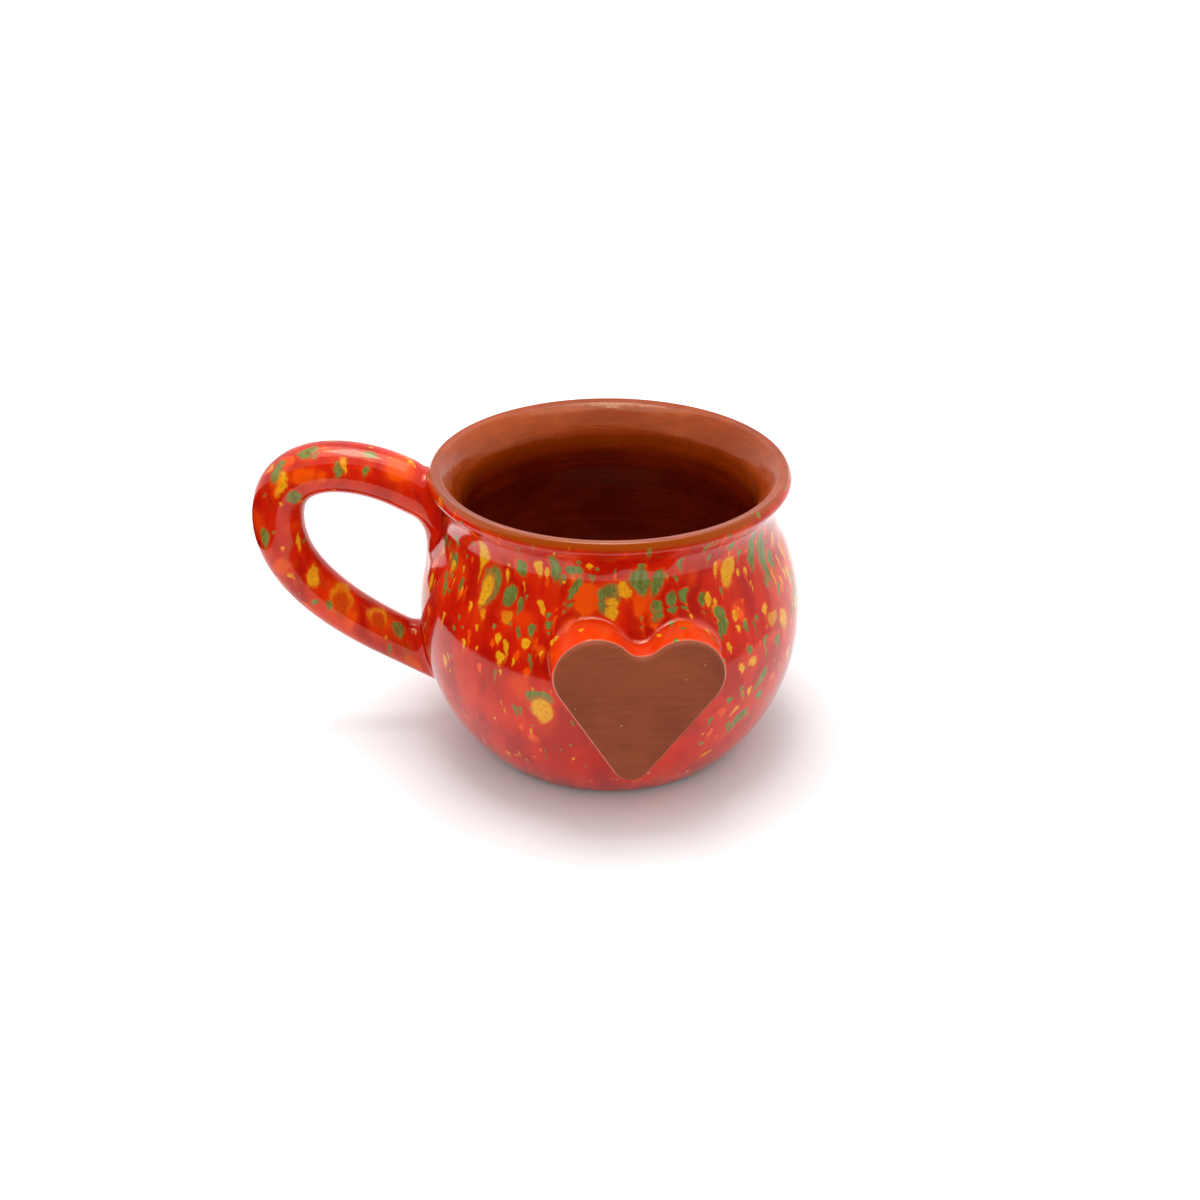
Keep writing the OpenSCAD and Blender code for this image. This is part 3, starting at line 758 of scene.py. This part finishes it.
def from_wall(points):
    """Distance of points from the coated wall, its normal there, and how glaze runs on it."""
    spot = np.column_stack([np.hypot(points[:, 0], points[:, 1]), points[:, 2]])
    gap, normal, rise = np.full(len(points), np.inf), np.zeros((len(points), 2)), np.zeros(len(points))
    for start, way, run in zip(wall_line[:-1], wall_steps, wall_run):
        span = hypot(*way)
        share = np.clip((spot - start) @ way / span**2, 0, 1)
        apart = spot - (start + share[:, None] * way)
        far = np.hypot(*apart.T)
        out = np.array([way[1], -way[0]]) / span
        side = np.where(apart @ out >= 0, 1, -1)
        near = far < np.abs(gap)
        gap[near] = (side * far)[near]
        away = side[near, None] * apart[near] / np.maximum(far[near, None], 1e-9)
        normal[near] = np.where(far[near, None] > 1e-6, away, out)
        rise[near] = run + share[near] * span
    turn = np.arctan2(points[:, 1], points[:, 0])
    around = np.column_stack([np.cos(turn), np.sin(turn)])
    wall_normal = np.column_stack([around * normal[:, :1], normal[:, 1]])
    flow = np.column_stack([around * flow_r, rise - gap])
    return gap, wall_normal, flow


hollow_most, coat_sunk = 7.5, 0.3


def smooth_on(points, outward, reach, feather):
    """Smooths a piece's clay on to the wall: near the wall it spreads along it in a round hollow, and
    its sunk edge runs out flat under the wall's face."""
    gap, normal, _ = from_wall(points)
    along = outward - (outward * normal).sum(1)[:, None] * normal
    along /= np.maximum(np.linalg.norm(along, axis=1), 1e-6)[:, None]
    hollow = np.minimum(reach, hollow_most)
    fall = 1 - np.clip(gap, 0, hollow) / hollow
    spread = reach * (1 - np.sqrt(1 - fall**2)) + np.clip(-gap, 0, coat_sunk) * feather
    moved = points + along * spread[:, None]
    moved_gap, moved_normal, _ = from_wall(moved)
    return moved + moved_normal * (gap - moved_gap)[:, None]


def run_on(mesh):
    """Turns the shading of a skin's sunk edge to the wall's, so that the gloss runs on over the joint."""
    own = rows_of(mesh.vertex_normals, "vector")
    gap, wall_normal, _ = from_wall(points_of(mesh))
    near = np.interp(gap, [0, 1.2], [1, 0])
    agree = np.interp((own * wall_normal).sum(1), [0.6, 0.9], [0, 1])
    share = (near * agree)[:, None]
    shaded = wall_normal * share + own * (1 - share)
    mesh.normals_split_custom_set_from_vertices(shaded / np.linalg.norm(shaded, axis=1)[:, None])


# The coat on the heart's edge, from the hollow at the wall to the bead along the wiped face
bead, coat_inner, edge_rows = 0.45, -0.15, 30
side_hollow, top_hollow, edge_feather = 1.2, 2.2, 5
glazed = heart_outline(coat)
normal = np.roll(glazed, -1, 0) - np.roll(glazed, 1, 0)
normal = np.column_stack([normal[:, 1], -normal[:, 0]]) / np.hypot(*normal.T)[:, None]
wall_y, front = wall_depth(glazed, coat), face_y - face_bare
reach = side_hollow + top_hollow * np.clip(normal[:, 1], 0, 1) ** 0.7
outward = on_heart(np.column_stack([normal[:, 0], normal[:, 1] - heart_z]), 0)
edge_rings = []
for share in np.linspace(0, 1, edge_rows) ** 2:
    depth = (wall_y - coat_sunk) + (front - bead - wall_y + coat_sunk) * share
    edge_rings.append(smooth_on(on_heart(glazed, depth), outward, reach, edge_feather))
for turn in np.radians([15, 35, 55, 75, 90, 110]):
    edge_rings.append(on_heart(glazed + normal * (bead * (cos(turn) - 1)), front - bead + bead * sin(turn)))
for depth in (front - coat_sunk, wall_y - heart_sunk):
    edge_rings.append(on_heart(heart_outline(coat_inner), depth))
heart_coat = skin("heart_red_glaze", edge_rings, pot_glaze_finish, line_shut=True)
heart_gap, _, heart_flow = from_wall(points_of(heart_coat.data))
note_on(heart_coat.data, "flow", heart_flow * MM)
note_on(heart_coat.data, "speckle", np.interp(heart_gap, [0.8, 4], [1, 0.6]))
# The red is lightened from the wall out to the face: partly glaze thinned over the edge, partly painted light
# on the flank.
thin_and_lit_coat = np.interp(heart_gap, [0.3, 2.5], [0, 0.6]).reshape(len(edge_rings), -1)
# The bead's rings take the pale line: partly the glaze's thin edge, partly a painted highlight.
thin_and_lit_coat[-6:-1] = 1
note_on(heart_coat.data, "thin_and_lit_coat", thin_and_lit_coat.ravel())
run_on(heart_coat.data)
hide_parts("heart_glaze")
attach(heart_coat, "root")

# Handle. A rolled coil of clay, bent into an ear, pressed on below the lip and low on the belly,
# and smoothed on to the wall with a thumb. What shows is its coat of red glaze.

handle_r, handle_low_r, handle_reach = 6.0, 5.5, 34.4
upper_root_z, lower_root_z, outer_drop = lip_z + lip_r - 9.6, 21.2, 5
upper_lift, lower_lift, upper_clear, lower_clear = 29, 30, 4.5, 5
upper_arm, crown_arm, waist_arm, lower_arm = 13.5, 18.4, 15.6, 11.7
upper_web, lower_web, root_edge = 16, 4.5, 1.0
root_lead, root_flat, root_sunk, root_deepest = 3.0, 0.5, 0.35, -12.0
coil_sides, root_rows, bend_rows = 72, 34, 44

upper_root, lower_root = (
    np.array([np.interp(z, wall_line[:, 1], wall_line[:, 0]), z]) for z in (upper_root_z, lower_root_z))
upper_way, lower_way = on_arc((0, 0), 1, [upper_lift, lower_lift])
lower_slope = asin((belly_z - lower_root_z) / (belly_r + coat))
upper_run = handle_r * tan(radians(upper_lift)) + lip_flare + upper_clear
lower_run = handle_low_r * tan(radians(lower_lift) + lower_slope) + lower_clear
upper_start, lower_start = upper_root + upper_way * upper_run, lower_root + lower_way * lower_run
outer_point = np.array([belly_r + handle_reach, upper_root_z - outer_drop])
crown = (upper_start, upper_start + upper_way * upper_arm, outer_point + [0, crown_arm], outer_point)
waist = (outer_point, outer_point - [0, waist_arm], lower_start + lower_way * lower_arm, lower_start)


def bend(c):
    """Points along a bend that four points pull into shape, without its last one."""
    t = (np.arange(bend_rows) / bend_rows)[:, None]
    return c[0] * (1 - t) ** 3 + c[1] * 3 * t * (1 - t) ** 2 + c[2] * 3 * t**2 * (1 - t) + c[3] * t**3


upper_end, lower_end = upper_root - upper_way * root_lead, lower_root - lower_way * root_lead
centre_line = np.vstack([
    side_line(upper_end, upper_start, root_rows), bend(crown), bend(waist),
    side_line(lower_start, lower_end, root_rows), [lower_end]])
runs = np.concatenate([[0], np.cumsum(np.hypot(*np.diff(centre_line, axis=0).T))])
total, outermost, thinnest = runs[-1], runs[root_rows + bend_rows], runs[root_rows + 2 * bend_rows]
coil_r = np.interp(runs, [outermost, thinnest], [handle_r, handle_low_r]) + coat

# The coil: a round section run along the bent centre line, thinner towards its lower end
coil = bpy.data.node_groups.new("bend_a_coil", "GeometryNodeTree")
given = inlets(coil, ("Centre Line", "Geometry", None), ("Sides", "Int", 48), ("Finish", "Material", None))
path = put(coil, "GeometryNodeMeshToCurve", [given["Centre Line"]])
thick = put(coil, "GeometryNodeInputNamedAttribute", ["thick"])
round_section = put(coil, "GeometryNodeCurvePrimitiveCircle", {"Resolution": given["Sides"], "Radius": 1.0})
rolled = put(coil, "GeometryNodeCurveToMesh", {
    "Curve": path, "Profile Curve": round_section, "Scale": thick, "Fill Caps": True})
outlet(coil, rolled, given["Finish"])

line_points = [(-r * MM, 0, z * MM) for r, z in centre_line]
handle = line_piece("handle_red_glaze", line_points, thick=coil_r * MM, along=runs)
shape_by(handle, coil, Sides=coil_sides, Finish=coil_glaze_finish)


def ease(share):
    return share**2 * (3 - 2 * share)


def settle(points, along, root, way, run, flat):
    """Brings the straight end of the coil to the wall: its rings close up there, and its upper side is
    pressed flat."""
    at_root = along < run + root_lead
    place, t = points[at_root], along[at_root] - root_lead
    line_way = np.array([-way[0], 0, way[1]])
    base = np.array([-root[0], 0, root[1]])
    offset = place - base - t[:, None] * line_way
    pressed = offset * np.where(offset[:, 2:] > 0, [1, 1, flat], 1)
    low, high = np.full(len(t), root_deepest), np.full(len(t), run)
    for _ in range(30):
        mid = (low + high) / 2
        clear = from_wall(base + mid[:, None] * line_way + pressed)[0] > 0
        high, low = np.where(clear, mid, high), np.where(clear, low, mid)
    share = (t + root_lead) / (run + root_lead)
    settled = low - root_sunk + (run - low + root_sunk) * share**2
    points[at_root] = base + settled[:, None] * line_way + pressed + (offset - pressed) * ease(share)[:, None]
    return at_root


mesh = handle.data
along = np.empty(len(mesh.vertices), np.float32)
mesh.attributes["along"].data.foreach_get("value", along)
coil_points = points_of(mesh)
at_upper = settle(coil_points, along, upper_root, upper_way, upper_run, root_flat)
settle(coil_points, total - along, lower_root, lower_way, lower_run, 1.0)
outward = rows_of(mesh.vertex_normals, "vector")
upward = outward[:, 2]
upper_webs = np.interp(upward, [-1, -0.85, -0.5, 0, 0.6, 1], [upper_web, 12.5, 8, 4.6, 2.0, root_edge])
web = np.where(at_upper, upper_webs, np.interp(upward, [-1, 1], [root_edge, lower_web]))
feather = np.where(at_upper, np.interp(upward, [-0.5, 0.4], [5, 0]), 3)
coil_points = smooth_on(coil_points, outward, web, feather)
mesh.vertices.foreach_set("co", (coil_points * MM).astype(np.float32).ravel())
mesh.update()
face_out(mesh)


def by_run(across, up):
    """Values along the centre line, as vectors in the loop's plane at each point of the coil."""
    return np.column_stack([np.interp(along, runs, across), np.zeros(len(along)), np.interp(along, runs, up)])


# Glaze ran straight down on the upper part of the loop, and along the coil on the lower part
gap, _, wall_flow = from_wall(coil_points)
fallen = np.maximum(along - outermost, 0)
section_out = coil_points - by_run(-centre_line[:, 0], centre_line[:, 1])
coil_flow = np.column_stack([
    np.where(fallen > 0, -outer_point[0] + section_out[:, 0], coil_points[:, 0]),
    coil_points[:, 1],
    np.where(fallen > 0, outer_point[1] - fallen, coil_points[:, 2]),
])
upper_middle, lower_middle = (np.array([[-root[0], 0, root[1]]]) for root in (upper_root, lower_root))
upper_shift = from_wall(upper_middle)[2] - upper_middle
lower_flow = [[-outer_point[0], 0, outer_point[1] - (total - root_lead - outermost)]]
lower_shift = from_wall(lower_middle)[2] - lower_flow
coil_flow += upper_shift + (lower_shift - upper_shift) * (fallen / (total - outermost))[:, None]
share = ease(np.clip((gap - 0.5) / 6, 0, 1))[:, None]
note_on(mesh, "flow", (wall_flow * (1 - share) + coil_flow * share) * MM)
note_on(mesh, "speckle", np.clip((gap - 1.5) / 4, 0, 1))
line_way = np.gradient(centre_line, runs, axis=0)
line_out = by_run(line_way[:, 1], line_way[:, 0])
section_turn = np.arctan2(outward[:, 1], (outward * line_out).sum(1))
note_on(mesh, "coil_way", np.column_stack([
    coil_flow_r * np.cos(section_turn), coil_flow_r * np.sin(section_turn), -along]) * MM)
run_on(mesh)
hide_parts("handle_glaze")
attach(handle, "root")

# Clear lining. A thin clear glaze poured inside and out again. It wets the clay to a deeper brown,
# shows the rings that the potter's fingers left, and runs out over the lip to meet the red. Below the
# rim the brown is painted darker in two steps, amber and then deep: partly the wetted clay, partly
# painted shade inside the pot.

lining_finish, tree, shader = new_finish("clear_glaze_on_clay")
# The two deep tones and the amber are the lining below the rim, painted darker: partly wetted clay, partly
# painted shade.
lining_deep_and_shaded, lining_pale_and_shaded = (0.140, 0.008, 0.0012, 1), (0.23, 0.018, 0.002, 1)
lining_amber = (0.25, 0.030, 0.0012, 1)
rim_clay, rim_clay_light = (0.28, 0.036, 0.004, 1), (0.38, 0.058, 0.008, 1)
amber_z, amber_fade, rim_z, rim_fade = 63.0, 2.5, 67.5, 2
finger_depth, lining_over, lining_lap = 0.12, 0.02, 8
where = own_place(tree)
cloud = noise(where, 60, 4, 0.6)
band = noise(where * (0.12, 0.12, 1.0), 900)
shade = step(cloud * 0.7 + band * 0.3, *light_and_dark)
uneven = (noise(where, 40, 4) - 0.5) * 0.008
grainy = (noise(where, 1300) - 0.5) * 0.004
high = split(where)[2] + (uneven + grainy)
lined_and_shaded = blend(shade, lining_deep_and_shaded, lining_pale_and_shaded)
# Darker below the rim in two steps, amber and then deep brown: partly clay wetted by the glaze, partly
# painted shade inside the pot.
lined_and_shaded = blend(step(high, (amber_z - amber_fade) * MM, (amber_z + amber_fade) * MM), lined_and_shaded, lining_amber)
bare_rim = blend(shade, rim_clay, rim_clay_light)
lined_and_shaded = blend(step(high, (rim_z - rim_fade) * MM, (rim_z + rim_fade) * MM), lined_and_shaded, bare_rim)
fill(shader, {
    "Base Color": lined_and_shaded,
    "Roughness": step(cloud, 0.3, 0.7, 0.11, 0.22),
    "Normal": bump(noise(where, 190, 3) + band, 0.25, 0.0003),
    "IOR": 1.45,
    "Specular IOR Level": 0.4,
    "Specular Tint": (1, 0.84, 0.60, 1),
})

lining_start = lip_glaze_turn - lining_lap
lining_in = np.vstack([over_lip(lining_start + 2, lip_inner, lining_over), inside(coat)[1:]])
lining_on = np.vstack([
    on_arc(lip_middle, lip_r, [lining_start]),
    arc(lip_middle, lip_r - thin, lining_start + 4, lip_inner, 7), inside(-thin)])
lining_line = np.vstack([lining_in[::-1], lining_on])
lining = throw("inside_clear_glaze", lining_line, lining_finish, ring_depth=finger_depth)
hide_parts("inside_glaze")
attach(lining, "root")

# Studio. A white table and a soft white tent, open towards the camera, so that the gloss shows a
# dark front between pale table and pale ceiling, with a soft box overhead.

black, full_white, table_white = (0, 0, 0, 1), (1, 1, 1, 1), (0.74, 0.74, 0.74, 1)
table_half, ceiling_z, ceiling_glow, tent_light = 3000, 660, 3.5, 0.98


def flat(left, right, near, far, z):
    return [[(left, near, z), (right, near, z)], [(left, far, z), (right, far, z)]]


def plain_rays(tree):
    """1 for the rays that show the plain white studio, in view and in gloss."""
    ray = put(tree, "ShaderNodeLightPath")
    seen = calc("MAXIMUM", ray["Is Camera Ray"], ray["Is Glossy Ray"])
    return calc("MAXIMUM", seen, ray["Is Transmission Ray"])


white, tree, shader = new_finish("white_table")
# The table glows for camera and gloss rays, faintly near the pot and fully from 9 cm out: painted light that
# whitens the floor round the pot's shadow.
away = put(tree, "ShaderNodeVectorMath", [own_place(tree)], "Value", operation="LENGTH")
fill(shader, {
    "Base Color": table_white, "Roughness": 1.0, "Specular IOR Level": 0.0, "Emission Color": full_white,
    "Emission Strength": plain_rays(tree) * step(away, 0.03, 0.09, 0.02, 0.42),
})
table = skin("white_table", flat(-table_half, table_half, -table_half, table_half, 0), white, ring_shut=False)


def gloss_card(name, rings, glow):
    """A card that only the gloss sees."""
    finish, _, shader = new_finish(name)
    card = skin(name, rings, finish, ring_shut=False)
    card.visible_camera = card.visible_diffuse = card.visible_shadow = False
    fill(shader, {
        "Base Color": black, "Specular IOR Level": 0.0, "Emission Color": full_white,
        "Emission Strength": glow(finish.node_tree)})
    return card


def front_glow(tree):
    """Light from both ends of the dark front."""
    x, y, _ = split(own_place(tree))
    round_front = calc("ARCTAN2", x, y * -1.0)
    left_end = step(round_front, radians(-128), radians(-133), 0.0, 2.2)
    return left_end + step(round_front, radians(20), radians(95), 0.0, 0.8)


front_left, front_right, front_far = -178, 95, 160
card_turns = np.linspace(front_left, front_right, 60)
front_top = np.radians(np.interp(
    card_turns, [-178, -132, -128, -100, -60, -30, 60, 95], [20, 20, 4, 24, 44, 58, 58, 40]))
card_turns = np.radians(card_turns)
card_rings = []
for share in np.linspace(0, 1, 12):
    out, up = np.cos(front_top * share), np.sin(front_top * share)
    card_rings.append(front_far * np.column_stack([np.sin(card_turns) * out, -np.cos(card_turns) * out, up]))
front_card = gloss_card("dark_front", card_rings, front_glow)

ceiling = gloss_card("pale_ceiling", flat(-320, 320, -240, 340, ceiling_z), lambda tree: ceiling_glow)

world = bpy.data.worlds.new("white_tent")
bpy.context.scene.world = world
world.use_nodes = True
fill(world.node_tree.nodes["Background"], {
    "Color": full_white, "Strength": step(plain_rays(world.node_tree), 0, 1, tent_light, 1.0)})


def look_from(thing, place, aim):
    thing.location = place
    thing.rotation_euler = (aim - place).to_track_quat("-Z", "Y").to_euler()
    bpy.context.scene.collection.objects.link(thing)


lamp = bpy.data.lights.new("overhead", "AREA")
lamp.shape, lamp.size, lamp.size_y, lamp.energy = "RECTANGLE", 0.26, 0.26, 1.6
look_from(bpy.data.objects.new("overhead", lamp), Vector((-0.02, 0.02, 0.62)), Vector((0, 0, 0.05)))

view_turn, view_rise, view_far = radians(-1), radians(28.4), 0.4076
aim = Vector((0, 0, 0.040))
back = Vector((sin(view_turn) * cos(view_rise), -cos(view_turn) * cos(view_rise), sin(view_rise)))
lens = bpy.data.cameras.new("camera")
lens.lens, lens.sensor_width = 48, 36
lens.shift_x, lens.shift_y = -0.00767, -0.0105
camera = bpy.data.objects.new("camera", lens)
look_from(camera, aim + back * view_far, aim)
bpy.context.scene.camera = camera
bpy.context.scene.view_settings.view_transform = "Standard"
